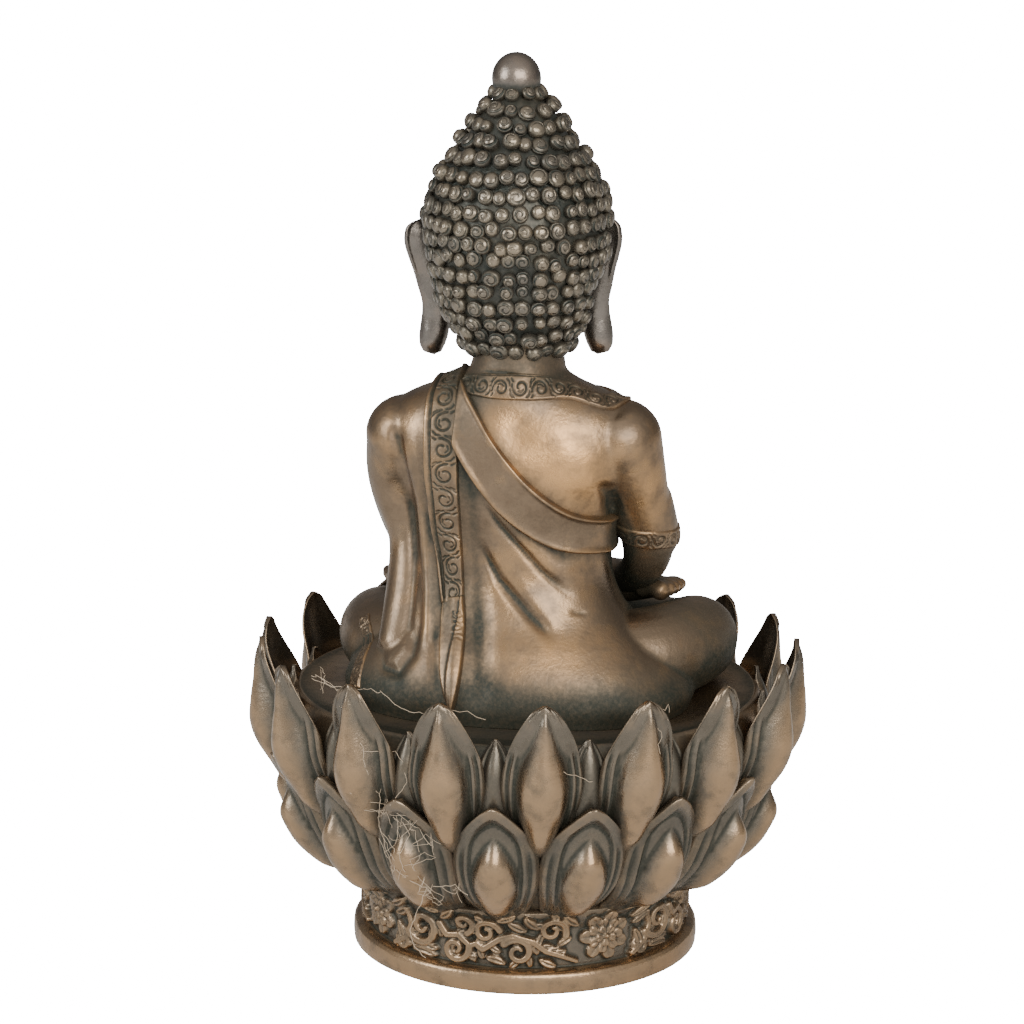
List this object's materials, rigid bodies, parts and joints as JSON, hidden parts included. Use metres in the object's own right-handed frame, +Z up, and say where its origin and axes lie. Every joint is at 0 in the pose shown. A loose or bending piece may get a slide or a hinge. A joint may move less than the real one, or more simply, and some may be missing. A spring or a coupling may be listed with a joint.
{
  "type": "seated buddha statue",
  "caption": "Cast bronze seated buddha with curled hair and draped robe, resting on a double lotus throne with a round carved foot.",
  "frame": {"origin": "middle of the round foot's underside", "axes": "+Z up, the figure faces -Y, and its left hand is on the +X side"},
  "size_m": [0.2784, 0.2552, 0.4504],
  "materials": {
    "figure": "cast bronze with a brown patina, rubbed to a warm golden brown on the high places",
    "lotus_throne": "cast bronze with a darker brown patina, rubbed on the petals and the foot's rim"
  },
  "bodies": {
    "root": {"figure": "figure", "lotus_throne": "lotus_throne"}
  },
  "joints": []
}
